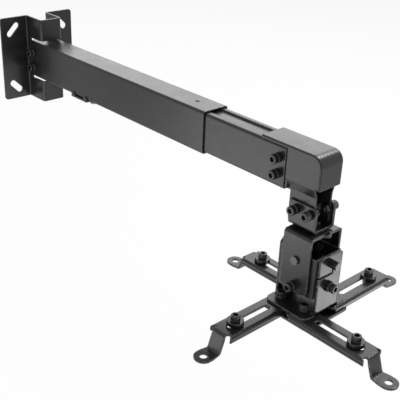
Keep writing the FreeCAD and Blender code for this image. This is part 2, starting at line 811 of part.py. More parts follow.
def make_swivel_bracket():
    """A U-shaped bracket bolted over the neck."""
    body = new_body("swivel_bracket")
    thick = Sizes.head_sheet
    inner = Sizes.neck_wide / 2 + Sizes.seat_gap
    outer = inner + thick
    top = bracket_low + Sizes.bracket_tall
    rear = axis_x - Sizes.bracket_back
    front = axis_x + Sizes.bracket_front
    section = new_sketch(body, "bracket_section", "YZ", rear)
    draw_loop(section, [
        (-outer, top), (-outer, bracket_low, bend_out), (outer, bracket_low, bend_out), (outer, top),
        (inner, top), (inner, bracket_low + thick, Sizes.bend),
        (-inner, bracket_low + thick, Sizes.bend), (-inner, top),
    ])
    pad(body, section, front - rear, both_ways=False)
    round_edges(body, "bracket_ears", Sizes.bracket_corner,
                lambda edge: runs_along(edge, "y") and near(edge.CenterOfMass.x, front)
                and near(edge.CenterOfMass.z, top))
    tail = new_sketch(body, "bracket_tail", "XY", bracket_low)
    tail_half = Sizes.bracket_tail_wide / 2
    tail_round = tail_half / 2
    draw_loop(tail, [(rear + thick, tail_half), (rear - Sizes.bracket_tail, tail_half, tail_round),
                     (rear - Sizes.bracket_tail, -tail_half, tail_round), (rear + thick, -tail_half)])
    pad(body, tail, thick, both_ways=False)
    holes = new_sketch(body, "bracket_bolt_holes", "XZ")
    for x, z in bracket_bolt_places():
        draw_circle(holes, x, z, bolt_hole)
    pocket(body, holes, outer * 4)
    centre = new_sketch(body, "bracket_swivel_hole", "XY", bracket_low)
    draw_circle(centre, axis_x, 0.0, Sizes.swivel_bolt / 2 + Sizes.pin_gap)
    pocket(body, centre, thick * 4)
    return body


def make_swivel_joint():
    """The upright bolt that the head turns about, with its disc, washer and nut."""
    radius = Sizes.swivel_bolt / 2
    bore = radius + Sizes.pin_gap
    seat = bracket_low + Sizes.head_sheet
    washer_top = yoke_top - Sizes.head_sheet - Sizes.rub_gap
    nut_top = washer_top - Sizes.washer_thick
    foot = nut_top - Sizes.swivel_nut_tall - Sizes.bolt_tail
    head = hexagon("swivel_bolt_head", Sizes.swivel_head_wide, Sizes.swivel_head_tall,
                   (axis_x, 0.0, seat), "+Z")
    shank = cylinder("swivel_bolt_shank", radius, seat - foot, (axis_x, 0.0, foot), "+Z")
    bolt = fuse("swivel_bolt", [head, shank])
    disc = ring("swivel_disc", Sizes.disc_wide / 2, bore, Sizes.disc_thick,
                (axis_x, 0.0, bracket_low), "-Z")
    washer = ring("swivel_washer", Sizes.wide_washer / 2, bore, Sizes.washer_thick,
                  (axis_x, 0.0, washer_top), "-Z")
    blank = hexagon("swivel_nut_hex", Sizes.swivel_head_wide, Sizes.swivel_nut_tall,
                    (axis_x, 0.0, nut_top), "-Z")
    thread = cylinder("swivel_nut_bore", bore, Sizes.swivel_nut_tall, (axis_x, 0.0, nut_top), "-Z")
    return [bolt, disc, washer, cut("swivel_nut", blank, thread)]


def make_yoke():
    """An inverted U that hangs under the bracket and holds the tilting box."""
    body = new_body("yoke")
    thick = Sizes.head_sheet
    outer = Sizes.yoke_wide / 2
    inner = outer - thick
    low = yoke_top - Sizes.yoke_tall
    half = Sizes.yoke_long / 2
    section = new_sketch(body, "yoke_section", "YZ", axis_x)
    draw_loop(section, [
        (outer, low), (outer, yoke_top, bend_out), (-outer, yoke_top, bend_out), (-outer, low),
        (-inner, low), (-inner, yoke_top - thick, Sizes.bend),
        (inner, yoke_top - thick, Sizes.bend), (inner, low),
    ])
    pad(body, section, Sizes.yoke_long)
    round_edges(body, "yoke_lower_corners", Sizes.yoke_corner,
                lambda edge: runs_along(edge, "y") and near(edge.CenterOfMass.z, low))
    tab = new_sketch(body, "yoke_tab", "XY", yoke_top - thick / 2)
    draw_circle(tab, axis_x + half - Sizes.bend, 0.0, Sizes.yoke_tab)
    pad(body, tab, thick)
    centre = new_sketch(body, "yoke_swivel_hole", "XY", yoke_top)
    draw_circle(centre, axis_x, 0.0, Sizes.swivel_bolt / 2 + Sizes.pin_gap)
    pocket(body, centre, thick * 4)
    pivots = new_sketch(body, "yoke_pivot_holes", "XZ")
    draw_circle(pivots, axis_x, pivot_z, pivot_hole)
    draw_circle(pivots, axis_x, pivot_z - Sizes.tilt_lock_radius, bolt_hole)
    pocket(body, pivots, outer * 4)
    return body


def make_tilting_box():
    """A short folded box between the yoke and the carrier, open at its top and bottom."""
    body = new_body("tilting_box")
    top = pivot_z + Sizes.box_rise
    low = pivot_z - Sizes.box_drop
    outer_bend = Sizes.bend + Sizes.box_sheet
    plan = new_sketch(body, "box_plan", "XY", low)
    for inset, radius in ((0.0, outer_bend), (Sizes.box_sheet, Sizes.bend)):
        half_long = Sizes.box_long / 2 - inset
        half_wide = box_wide / 2 - inset
        draw_loop(plan, [(axis_x + half_long, half_wide, radius), (axis_x - half_long, half_wide, radius),
                         (axis_x - half_long, -half_wide, radius), (axis_x + half_long, -half_wide, radius)])
    pad(body, plan, top - low, both_ways=False)
    tilt_holes = new_sketch(body, "box_tilt_holes", "XZ")
    draw_circle(tilt_holes, axis_x, pivot_z, pivot_hole)
    pocket(body, tilt_holes, box_wide * 2)
    pocket_bow(body, "box_arc_slots", "XZ", axis_x, pivot_z, Sizes.tilt_lock_radius, bolt_hole,
               Sizes.tilt_range + Sizes.arc_margin, box_wide * 2)
    roll_holes = new_sketch(body, "box_roll_holes", "YZ", axis_x)
    draw_circle(roll_holes, 0.0, pivot_z, pivot_hole)
    draw_circle(roll_holes, 0.0, pivot_z - Sizes.roll_lock_radius, bolt_hole)
    pocket(body, roll_holes, Sizes.box_long * 2)
    return body


def make_pins(prefix, ways, face, inner_face, head_radius, head_long):
    """A headed pivot pin on each side, with its nut inside the tilting box."""
    pins, nuts = [], []
    for number, way in enumerate(ways, start=1):
        centre = (axis_x, 0.0, pivot_z)
        seat = moved(centre, way, face + Sizes.rub_gap)
        inner = moved(centre, way, inner_face)
        back = OPPOSITE[way]
        length = face + Sizes.rub_gap - inner_face + Sizes.nut_tall + Sizes.bolt_tail
        head = cylinder(f"{prefix}_head_{number}", head_radius, head_long, seat, way)
        shank = cylinder(f"{prefix}_shank_{number}", Sizes.pivot_bolt / 2, length, seat, back)
        pins.append(fuse(f"{prefix}_pin_{number}", [head, shank]))
        nuts.append(nut(f"{prefix}_nut_{number}", inner, back))
    return [group(f"{prefix}_pins", pins), group(f"{prefix}_nuts", nuts)]


def make_tilt_joint():
    outer = Sizes.yoke_wide / 2
    inner = box_wide / 2 - Sizes.box_sheet
    pins = make_pins("tilt_pivot", ("-Y", "+Y"), outer, inner,
                     Sizes.pivot_head_wide / 2, Sizes.pivot_head_tall)
    level = pivot_z - Sizes.tilt_lock_radius
    stations = [((axis_x, outer * side, level), way) for side, way in ((-1, "-Y"), (1, "+Y"))]
    washers = [Sizes.tilt_washer, Sizes.spring_washer]
    return pins + bolt_group("tilt_lock", stations, washers, outer - inner, Sizes.rub_gap)


def carrier_face():
    """Distance from the head axis to the outside of the carrier's upright plates."""
    return Sizes.box_long / 2 + Sizes.side_play + Sizes.head_sheet


def make_roll_joint():
    outer = carrier_face()
    inner = Sizes.box_long / 2 - Sizes.box_sheet
    pins = make_pins("roll_pivot", ("+X", "-X"), outer, inner, Sizes.stud_wide / 2, Sizes.stud_long)
    level = pivot_z - Sizes.roll_lock_radius
    stations = [((axis_x + outer * side, 0.0, level), way) for side, way in ((1, "+X"), (-1, "-X"))]
    return pins + bolt_group("roll_lock", stations, STACK, outer - inner, Sizes.rub_gap)


def make_carrier():
    """The folded cradle that rolls on the box and spreads into the legs' top plate."""
    body = new_body("carrier")
    thick = Sizes.head_sheet
    outer = carrier_face()
    inner = outer - thick
    top = pivot_z + Sizes.carrier_rise
    low = base_top - thick
    half_wide = Sizes.carrier_wide / 2
    section = new_sketch(body, "carrier_section", "XZ")
    draw_loop(section, [
        (axis_x + outer, top), (axis_x + inner, top), (axis_x + inner, base_top, Sizes.bend),
        (axis_x - inner, base_top, Sizes.bend), (axis_x - inner, top), (axis_x - outer, top),
        (axis_x - outer, low, bend_out), (axis_x + outer, low, bend_out),
    ])
    pad(body, section, Sizes.carrier_wide)
    round_edges(body, "carrier_plate_corners", Sizes.carrier_corner,
                lambda edge: runs_along(edge, "x") and near(edge.CenterOfMass.z, top))
    out = Sizes.base_long / 2
    side = Sizes.base_wide / 2
    shoulder = half_wide + Sizes.base_relief
    waist = inner - Sizes.bend
    base = new_sketch(body, "carrier_base", "XY", low)
    draw_loop(base, [
        (axis_x + out, side, Sizes.base_corner), (axis_x - out, side, Sizes.base_corner),
        (axis_x - out, shoulder), (axis_x - waist, shoulder),
        (axis_x - waist, -shoulder), (axis_x - out, -shoulder),
        (axis_x - out, -side, Sizes.base_corner), (axis_x + out, -side, Sizes.base_corner),
        (axis_x + out, -shoulder), (axis_x + waist, -shoulder),
        (axis_x + waist, shoulder), (axis_x + out, shoulder),
    ])
    pad(body, base, thick, both_ways=False)
    pivots = new_sketch(body, "carrier_pivot_holes", "YZ", axis_x)
    draw_circle(pivots, 0.0, pivot_z, pivot_hole)
    pocket(body, pivots, outer * 4)
    pocket_bow(body, "carrier_arc_slots", "YZ", 0.0, pivot_z, Sizes.roll_lock_radius, bolt_hole,
               Sizes.roll_range + Sizes.arc_margin, outer * 4, axis_x)
    seam = new_sketch(body, "carrier_seam", "YZ", axis_x + outer)
    seam_top = pivot_z - pivot_hole - Sizes.seam_wide
    seam_low = pivot_z - Sizes.seam_drop
    inside = Sizes.seam_side
    draw_loop(seam, [
        (-half_wide - 1, seam_low), (inside, seam_low), (inside, seam_top),
        (inside - Sizes.seam_wide, seam_top), (inside - Sizes.seam_wide, seam_low + Sizes.seam_wide),
        (-half_wide - 1, seam_low + Sizes.seam_wide),
    ])
    pocket(body, seam, thick * 3)
    bolts = new_sketch(body, "carrier_bolt_holes", "XY", base_top)
    for spot in clamp_bolt_places():
        draw_circle(bolts, spot[0], spot[1], bolt_hole)
    pocket(body, bolts, thick * 4)
    return body


def clamp_bolt_places():
    """Where the legs' clamp bolts stand, in the order of LEGS."""
    return [(axis_x + Sizes.clamp_bolt_out * x, Sizes.clamp_bolt_side * y) for _, x, y, _ in LEGS]


def make_clamp_plate():
    body = new_body("clamp_plate")
    half_long = Sizes.clamp_long / 2
    half_wide = Sizes.base_wide / 2
    radius = Sizes.clamp_corner
    plan = new_sketch(body, "clamp_plan", "XY", clamp_top - Sizes.head_sheet)
    draw_loop(plan, [(axis_x + half_long, half_wide, radius), (axis_x - half_long, half_wide, radius),
                     (axis_x - half_long, -half_wide, radius), (axis_x + half_long, -half_wide, radius)])
    for spot in clamp_bolt_places():
        draw_circle(plan, spot[0], spot[1], bolt_hole)
    pad(body, plan, Sizes.head_sheet, both_ways=False)
    return body


def make_clamp_bolts():
    stations = [((x, y, base_top), "+Z") for x, y in clamp_bolt_places()]
    grip = base_top - clamp_top + Sizes.head_sheet
    return bolt_group("clamp", stations, [Sizes.clamp_washer, Sizes.spring_washer], grip)


# Each leg: name, which corner its clamp bolt takes, and the way it points.
LEGS = (
    ("front", 1, -1, 0),
    ("left", 1, 1, 90),
    ("rear", -1, 1, 180),
    ("right", -1, -1, 270),
)


def place_on_leg(thing, leg):
    """Turn a piece made about the clamp bolt, pointing along X, into its leg's place."""
    _, x, y, angle = leg
    thing.Placement = FreeCAD.Placement(FreeCAD.Vector(), FreeCAD.Rotation(Z_AXIS, angle))
    bind(thing, "Placement.Base.x", axis_x + Sizes.clamp_bolt_out * x)
    bind(thing, "Placement.Base.y", Sizes.clamp_bolt_side * y)
    bind(thing, "Placement.Base.z", leg_top)


def make_leg(leg):
    """One pressed strip: a flanged channel, a narrow step down and a round foot."""
    name = leg[0]
    thick = Sizes.leg_sheet
    half = Sizes.leg_wide / 2
    end = Sizes.leg_flange_end
    flat = half - thick - Sizes.bend
    foot_top = -Sizes.foot_drop
    tip = Sizes.foot_hole_out + Sizes.foot_radius
    outer_bend = Sizes.bend + thick
    back = Sizes.leg_back

    profile_body = new_body(f"leg_{name}_profile")
    side = new_sketch(profile_body, f"leg_{name}_side", "XZ")
    run_in, run_out = Sizes.foot_bend_in, Sizes.foot_bend_out
    draw_loop(side, [
        (-back, 0.0), (-back, -thick), (run_in - thick, -thick, Sizes.bend),
        (run_out - thick, foot_top - thick, outer_bend), (tip, foot_top - thick), (tip, foot_top),
        (run_out, foot_top, Sizes.bend), (run_in, 0.0, outer_bend),
    ])
    pad(profile_body, side, Sizes.leg_wide)

    plan_body = new_body(f"leg_{name}_plan")
    plan = new_sketch(plan_body, f"leg_{name}_outline", "XY")
    strip = Sizes.neck_strip / 2
    foot = Sizes.foot_radius
    shoulder = Sizes.foot_hole_out - foot / 2
    start = Sizes.leg_corner - back
    corner = Sizes.leg_corner - Sizes.seat_gap
    draw_loop(plan, [
        (-back, half, corner), (start, half), (start, flat), (end, flat), (end, strip),
        (run_out, strip), (shoulder, foot),
        (tip, foot, foot - Sizes.seat_gap), (tip, -foot, foot - Sizes.seat_gap),
        (shoulder, -foot), (run_out, -strip),
        (end, -strip), (end, -flat), (start, -flat), (start, -half), (-back, -half, corner),
    ])
    pad(plan_body, plan, Sizes.foot_drop * 4)
    strip_solid = doc.addObject("Part::Common", f"leg_{name}_strip")
    strip_solid.Base = profile_body
    strip_solid.Tool = plan_body

    channel = new_body(f"leg_{name}_channel")
    section = new_sketch(channel, f"leg_{name}_section", "YZ", start)
    inner = half - thick
    draw_loop(section, [
        (half, -Sizes.leg_deep), (half, 0.0, outer_bend), (-half, 0.0, outer_bend),
        (-half, -Sizes.leg_deep), (-inner, -Sizes.leg_deep), (-inner, -thick, Sizes.bend),
        (inner, -thick, Sizes.bend), (inner, -Sizes.leg_deep),
    ])
    pad(channel, section, end - start, both_ways=False)
    blank = fuse(f"leg_{name}_blank", [strip_solid, channel])

    punch = new_body(f"leg_{name}_punch")
    holes = new_sketch(punch, f"leg_{name}_holes", "XY")
    draw_circle(holes, 0.0, 0.0, Sizes.bolt / 2 + Sizes.pin_gap)
    draw_circle(holes, Sizes.foot_hole_out, 0.0, Sizes.foot_hole / 2)
    slot_half = Sizes.leg_slot_wide / 2
    draw_slot(holes, (Sizes.leg_slot_start + Sizes.leg_slot_end) / 2, 0.0,
              (Sizes.leg_slot_end - Sizes.leg_slot_start) / 2 - slot_half, slot_half)
    pad(punch, holes, Sizes.foot_drop * 4)
    reliefs = [cylinder(f"leg_{name}_relief_{number}", Sizes.leg_notch, thick * 4,
                        (end, (strip + inner) / 2 * way, thick), "-Z")
               for number, way in enumerate(SIDES, start=1)]
    whole = cut(f"leg_{name}", blank, group(f"leg_{name}_tools", [punch] + reliefs))
    place_on_leg(whole, leg)
    return whole


def make_leg_bolt(leg):
    """The screw that holds the projector's strap, free to slide along the leg's slot."""
    name = leg[0]
    washers = [Sizes.wide_washer, Sizes.washer, Sizes.spring_washer]
    station = [((Sizes.leg_bolt_out, 0.0, 0.0), "+Z")]
    screws, rings, nuts = bolt_stacks(f"slot_{name}", station, washers, Sizes.leg_sheet, Sizes.rub_gap)
    nodes = [group(f"slot_screw_{name}", screws), group(f"slot_washers_{name}", rings),
             group(f"slot_nut_{name}", nuts)]
    for node in nodes:
        place_on_leg(node, leg)
    return nodes


def make_wall_bolts():
    side = Sizes.tube_wide / 2
    stations = [((Sizes.wall_bolt_out, side * across, Sizes.wall_bolt_up * up),
                 "+Y" if across > 0 else "-Y") for across, up in CORNERS]
    grip = side - hat_half + Sizes.plate_sheet
    return bolt_group("wall_bolt", stations, [Sizes.wide_washer, Sizes.spring_washer], grip)


def make_elbow_bolts():
    side = inner_wide / 2
    stations = [((x, side * across, z), "+Y" if across > 0 else "-Y")
                for x, z in elbow_bolt_places() for across in SIDES]
    grip = Sizes.tube_wall + Sizes.seat_gap + Sizes.hood_sheet
    return bolt_group("elbow_bolt", stations, STACK, grip)


def make_bracket_bolts():
    side = Sizes.neck_wide / 2 + Sizes.seat_gap + Sizes.head_sheet
    stations = [((x, side * across, z), "+Y" if across > 0 else "-Y")
                for x, z in bracket_bolt_places() for across in SIDES]
    grip = Sizes.head_sheet + Sizes.seat_gap + Sizes.hood_sheet
    return bolt_group("bracket_bolt", stations, STACK, grip)


nodes = [make_wall_plate(), make_outer_arm(), make_guide_screw(), make_inner_arm(), make_elbow(),
         make_swivel_bracket(), make_yoke(), make_tilting_box(), make_carrier(), make_clamp_plate()]
nodes += make_clip() + make_wall_bolts() + make_elbow_bolts() + make_bracket_bolts()
nodes += make_swivel_joint() + make_tilt_joint() + make_roll_joint() + make_clamp_bolts()
for leg in LEGS:
    nodes.append(make_leg(leg))
    nodes += make_leg_bolt(leg)
doc.recompute()

for thing in doc.Objects:
    if "Invalid" in thing.State or "Error" in thing.State:
        raise RuntimeError(f"{thing.Name} did not compute: {thing.State}")
for node in nodes:
    if node.Shape.isNull() or not node.Shape.isValid():
        raise RuntimeError(f"{node.Label} has no valid shape")

os.makedirs("parts", exist_ok=True)
for node in nodes:
    node.Shape.exportStep(f"parts/{node.Label}.step")
    box = node.Shape.BoundBox
    print(f"{node.Label}: {len(node.Shape.Solids)} solids, volume {node.Shape.Volume:.1f}, "
          f"x {box.XMin:.1f}..{box.XMax:.1f}, y {box.YMin:.1f}..{box.YMax:.1f}, "
          f"z {box.ZMin:.1f}..{box.ZMax:.1f}")
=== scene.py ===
import json
import math

import bmesh
import bpy
from mathutils import Matrix, Vector

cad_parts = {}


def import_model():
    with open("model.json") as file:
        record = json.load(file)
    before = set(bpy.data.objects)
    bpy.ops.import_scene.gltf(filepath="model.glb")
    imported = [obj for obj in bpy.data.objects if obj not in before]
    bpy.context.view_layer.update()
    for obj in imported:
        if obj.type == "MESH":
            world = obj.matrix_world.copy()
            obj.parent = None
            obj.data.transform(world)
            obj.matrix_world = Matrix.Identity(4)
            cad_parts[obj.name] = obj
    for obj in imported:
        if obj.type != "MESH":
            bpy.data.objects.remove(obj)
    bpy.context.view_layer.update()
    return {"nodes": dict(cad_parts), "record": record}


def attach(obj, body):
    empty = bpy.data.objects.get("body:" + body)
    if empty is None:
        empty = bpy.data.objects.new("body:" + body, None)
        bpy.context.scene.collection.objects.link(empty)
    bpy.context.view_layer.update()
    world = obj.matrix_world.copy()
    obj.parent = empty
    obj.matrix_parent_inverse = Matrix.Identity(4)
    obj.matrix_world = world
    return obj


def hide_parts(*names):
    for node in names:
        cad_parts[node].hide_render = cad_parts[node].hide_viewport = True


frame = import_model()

MM = 0.001
X, Y, Z = 0, 1, 2
WHITE = (1.0, 1.0, 1.0, 1.0)
NODES = frame["nodes"]
BODY_OF = {node: body for body, names in frame["record"]["behaviour"]["bodies"].items()
           for node in names}


# ---------------------------------------------------------------- node materials

class Graph:
    """A material whose shader nodes are added and joined by short calls."""

    MIX_SHARE, MIX_FIRST, MIX_SECOND, MIX_COLOUR = 0, 6, 7, 2

    def __init__(self, name):
        self.material = bpy.data.materials.new(name)
        self.material.use_nodes = True
        self.tree = self.material.node_tree
        self.shader = self.tree.nodes["Principled BSDF"]
        self.spot = self.add("ShaderNodeTexCoord").outputs["Object"]

    def feed(self, socket, value):
        """Links a socket to another one, or sets it to a plain value."""
        if isinstance(value, bpy.types.NodeSocket):
            self.tree.links.new(value, socket)
        else:
            socket.default_value = value

    def add(self, kind, inputs=None, **settings):
        node = self.tree.nodes.new(kind)
        for name, value in settings.items():
            setattr(node, name, value)
        for name, value in (inputs or {}).items():
            self.feed(node.inputs[name], value)
        return node

    def join(self, source, name):
        self.tree.links.new(source, self.shader.inputs[name])

    def noise(self, scale, detail=2.0, rough=0.5):
        """Noise with that many large spots per metre."""
        return self.add("ShaderNodeTexNoise", {"Vector": self.spot, "Scale": scale,
                                               "Detail": detail, "Roughness": rough}
                        ).outputs["Fac"]

    def remap(self, source, low, high, out_low=0.0, out_high=1.0):
        return self.add("ShaderNodeMapRange", {"Value": source, "From Min": low, "From Max": high,
                                               "To Min": out_low, "To Max": out_high}
                        ).outputs["Result"]

    def blend(self, share, first, second):
        return self.add("ShaderNodeMix", {self.MIX_SHARE: share, self.MIX_FIRST: first,
                                          self.MIX_SECOND: second}, data_type="RGBA"
                        ).outputs[self.MIX_COLOUR]

    def math(self, operation, first, second):
        return self.add("ShaderNodeMath", {0: first, 1: second}, operation=operation).outputs[0]

    def bump(self, height, strength, distance, normal=None):
        inputs = {"Height": height, "Strength": strength, "Distance": distance}
        if normal is not None:
            inputs["Normal"] = normal
        return self.add("ShaderNodeBump", inputs).outputs["Normal"]

    def sheen_and_wear_edges(self, radius):
        """1 where the surface turns within the radius, 0 on flats, and the rounded normal; the
        mask places the painted edge highlight and the smoother, rubbed edges.
        """
        rounded = self.add("ShaderNodeBevel", {"Radius": radius}, samples=6).outputs["Normal"]
        flat = self.add("ShaderNodeNewGeometry").outputs["Normal"]
        turn = self.add("ShaderNodeVectorMath", {0: rounded, 1: flat},
                        operation="DOT_PRODUCT").outputs["Value"]
        return self.remap(turn, 0.995, 0.80), rounded


def grey(level, warm=0.0):
    return (level * (1 + warm), level, level * (1 - warm), 1.0)


def powder_coat(name, level, rough, edge_reach=0.7 * MM, edge_sheen_gain=13.0):
    """Satin black powder coat with a fine orange peel and a little dust; its edges are paled in
    colour, a painted highlight that partly stands for thin coat there.

    An edge pales over edge_reach, to edge_sheen_gain times the level of the flats.
    """
    graph = Graph(name)
    for socket, value in (("Specular IOR Level", 0.30), ("Coat Weight", 0.10),
                          ("Coat Roughness", 0.22)):
        graph.shader.inputs[socket].default_value = value
    edge, rounded = graph.sheen_and_wear_edges(edge_reach)
    cloud = graph.remap(graph.noise(24.0, detail=3.0, rough=0.6), 0.30, 0.70)
    film = graph.blend(cloud, grey(level * 0.85, 0.01), grey(level * 1.2, 0.02))
    dust = graph.remap(graph.noise(2600.0, detail=1.0), 0.68, 0.76, out_high=0.15)
    film = graph.blend(dust, film, grey(level * 2.6, 0.01))
    speck = graph.remap(graph.noise(420.0), 0.40, 0.62, out_low=0.25)
    # Painted highlight: the edges are paled in colour, partly standing for thin coat there.
    edge_sheen_and_wear = graph.math("MULTIPLY", edge, graph.math("MULTIPLY", speck, 0.8))
    graph.join(graph.blend(edge_sheen_and_wear, film, grey(level * edge_sheen_gain, 0.01)), "Base Color")
    satin = graph.remap(graph.noise(60.0, detail=3.0, rough=0.6), 0.25, 0.75,
                        rough - 0.04, rough + 0.05)
    rubbed = graph.math("MULTIPLY", edge, 0.08)
    graph.join(graph.math("SUBTRACT", satin, rubbed), "Roughness")
    peel = graph.bump(graph.noise(700.0), 0.05, 0.3 * MM, rounded)
    graph.join(graph.bump(graph.noise(3200.0, detail=1.0), 0.04, 0.08 * MM, peel), "Normal")
    return graph.material


def black_oxide(name, level, rough):
    """Blackened steel: nearly black, oily, with edges paled in colour, a painted glint that
    partly stands for rubbing.
    """
    graph = Graph(name)
    graph.shader.inputs["Metallic"].default_value = 0.60
    edge, rounded = graph.sheen_and_wear_edges(0.25 * MM)
    patch = graph.remap(graph.noise(900.0, detail=3.0, rough=0.6), 0.35, 0.65)
    film = graph.blend(patch, grey(level * 0.8, 0.03), grey(level * 1.35, -0.01))
    speck = graph.remap(graph.noise(1500.0), 0.35, 0.6, 0.2, 0.9)
    # Painted glint: the edges are paled in colour, partly standing for rubbing.
    edge_sheen_and_wear = graph.math("MULTIPLY", edge, speck)
    graph.join(graph.blend(edge_sheen_and_wear, film, grey(level * 10.0, 0.02)), "Base Color")
    graph.join(graph.remap(graph.noise(1300.0), 0.3, 0.7, rough - 0.05, rough + 0.08),
               "Roughness")
    graph.join(graph.bump(graph.noise(5000.0, detail=1.0), 0.12, 0.05 * MM, rounded), "Normal")
    return graph.material


def moulded_plastic(name, level, rough):
    """Moulded nylon: matt, faintly mottled, with a fine spark-eroded texture."""
    graph = Graph(name)
    mottle = graph.remap(graph.noise(500.0, detail=3.0, rough=0.6), 0.3, 0.7)
    graph.join(graph.blend(mottle, grey(level * 0.85), grey(level * 1.15)), "Base Color")
    graph.join(graph.remap(graph.noise(800.0), 0.3, 0.7, rough - 0.04, rough + 0.05),
               "Roughness")
    graph.join(graph.bump(graph.noise(3500.0), 0.25, 0.06 * MM), "Normal")
    return graph.material


BLACK = 0.013
COAT = powder_coat("black_powder_coat", BLACK, 0.30)
# The slider and the pressed parts get a wider painted edge highlight, the pressed ones a brighter
# one too.
SLIDER = powder_coat("black_powder_coat_slider", BLACK, 0.30, edge_reach=2.2 * MM)
PRESSED = powder_coat("black_powder_coat_pressed", BLACK, 0.25, edge_reach=2.4 * MM,
                      edge_sheen_gain=20.0)
OXIDE = black_oxide("black_oxide_steel", 0.030, 0.17)
PIN = black_oxide("rubbed_steel", 0.065, 0.26)
NYLON = moulded_plastic("black_nylon", 0.016, 0.50)
NATURAL = moulded_plastic("grey_nylon", 0.30, 0.45)


def dress(thing, material):
    """Gives every slot of a piece that material."""
    if not thing.material_slots:
        thing.data.materials.append(material)
    for slot in thing.material_slots:
        slot.material = material


# ---------------------------------------------------------------- turned solids

class Turned:
    """A solid turned about Z from rows of height and radius, which may be more than round.

    The kinds of row: round; hex, across flats; nut, a hexagon cut back to a limit; knurl;
    and thread, cut to a depth with a pitch.
    """

    KNURL_DEPTH = 0.22 * MM

    def __init__(self, sectors):
        self.sectors = sectors
        self.rows = []

    def row(self, height, radius, kind="round", **sizes):
        self.rows.append((height, radius, kind, sizes))

    def reach(self, step, height, radius, kind, sizes):
        """How far the surface is from the axis, at a sector and in a row."""
        angle = math.tau * step / self.sectors
        from_flat = (angle + math.pi / 6) % (math.pi / 3) - math.pi / 6
        if kind == "hex":
            return radius / math.cos(from_flat)
        if kind == "nut":
            return min(radius / math.cos(from_flat), sizes["limit"])
        if kind == "knurl":
            return radius - self.KNURL_DEPTH * (step % 2)
        if kind == "thread":
            phase = (height / sizes["pitch"] + angle / math.tau) % 1.0
            return radius - sizes["depth"] * abs(phase * 2 - 1)
        return radius

    def ring(self, mesh, place, height, radius, kind, sizes):
        """The points of one row: a single one on the axis, or one for each sector."""
        if radius == 0.0:
            return [mesh.verts.new(place @ Vector((0, 0, height)))]
        points = []
        for step in range(self.sectors):
            angle = math.tau * step / self.sectors
            reach = self.reach(step, height, radius, kind, sizes)
            points.append(mesh.verts.new(place @ Vector((reach * math.cos(angle),
                                                         reach * math.sin(angle), height))))
        return points

    def build(self, mesh, place, has_bore=False):
        """Adds the solid to a mesh. With a bore, its last row joins its first."""
        rings = [self.ring(mesh, place, *row) for row in self.rows]
        pairs = list(zip(rings, rings[1:]))
        if has_bore:
            pairs.append((rings[-1], rings[0]))
        for low, high in pairs:
            for step in range(self.sectors):
                after = (step + 1) % self.sectors
                if len(low) == 1:
                    corners = (low[0], high[after], high[step])
                elif len(high) == 1:
                    corners = (low[step], low[after], high[0])
                else:
                    corners = (low[step], low[after], high[after], high[step])
                mesh.faces.new(corners)


SCREW_HEAD = 6.0 * MM
SCREW_KEY = 5.0 * MM
SCREW_THREAD = 9.0 * MM
PITCH = 1.0 * MM
THREAD_DEPTH = 0.55 * MM
ROWS_PER_PITCH = 5
KEY_MOUTH = 1.17        # the socket's round mouth over half its width across flats
GUIDE_KEY = 2.5 * MM
GUIDE_SUNK = 0.45 * MM
NUT_BORE = 3.02 * MM
WASHER_BORE = 3.05 * MM


def cap_screw(head_radius, shank_radius, shank_long):
    """A socket-head cap screw, its head up from height 0, with a knurl and a cut thread."""
    turned = Turned(72)
    socket = SCREW_HEAD - SCREW_HEAD * 0.55
    turned.row(socket - SCREW_KEY * 0.2, 0.0)
    turned.row(socket, SCREW_KEY / 2, "hex")
    turned.row(SCREW_HEAD - 0.25 * MM, SCREW_KEY / 2, "hex")
    turned.row(SCREW_HEAD, SCREW_KEY / 2 * KEY_MOUTH)
    for down, inward in ((0.0, 0.75), (0.15, 0.35), (0.55, 0.05), (0.8, 0.0)):
        turned.row(SCREW_HEAD - down * MM, head_radius - inward * MM)
    turned.row(SCREW_HEAD - 0.9 * MM, head_radius, "knurl")
    turned.row(0.75 * MM, head_radius, "knurl")
    for up, inward in ((0.65, 0.0), (0.25, 0.05), (0.0, 0.3)):
        turned.row(up * MM, head_radius - inward * MM)
    turned.row(0.0, shank_radius + 0.02 * MM)

    threaded = min(SCREW_THREAD, shank_long - 0.2 * MM)
    start = -shank_long + threaded
    turned.row(start, shank_radius)
    steps = int(threaded / PITCH * ROWS_PER_PITCH)
    for step in range(steps + 1):
        height = start - 0.05 * MM - (threaded - 0.6 * MM) * step / steps
        if height > -shank_long + 0.55 * MM:
            turned.row(height, shank_radius, "thread", pitch=PITCH, depth=THREAD_DEPTH)
    turned.row(-shank_long + 0.5 * MM, shank_radius - 0.3 * MM)
    turned.row(-shank_long, shank_radius - 0.7 * MM)
    turned.row(-shank_long, 0.0)
    return turned


def set_screw(radius, long):
    """A grub screw, its hexagon socket up, whose top lies a little below height 0."""
    turned = Turned(48)
    turned.row(-GUIDE_SUNK - 1.3 * MM, 0.0)
    turned.row(-GUIDE_SUNK - 1.1 * MM, GUIDE_KEY / 2, "hex")
    turned.row(-GUIDE_SUNK - 0.1 * MM, GUIDE_KEY / 2, "hex")
    turned.row(-GUIDE_SUNK, GUIDE_KEY / 2 * KEY_MOUTH)
    turned.row(-GUIDE_SUNK, radius - 0.35 * MM)
    turned.row(-GUIDE_SUNK - 0.35 * MM, radius)
    turned.row(-long + 0.4 * MM, radius)
    turned.row(-long, radius - 0.4 * MM)
    turned.row(-long, 0.0)
    return turned


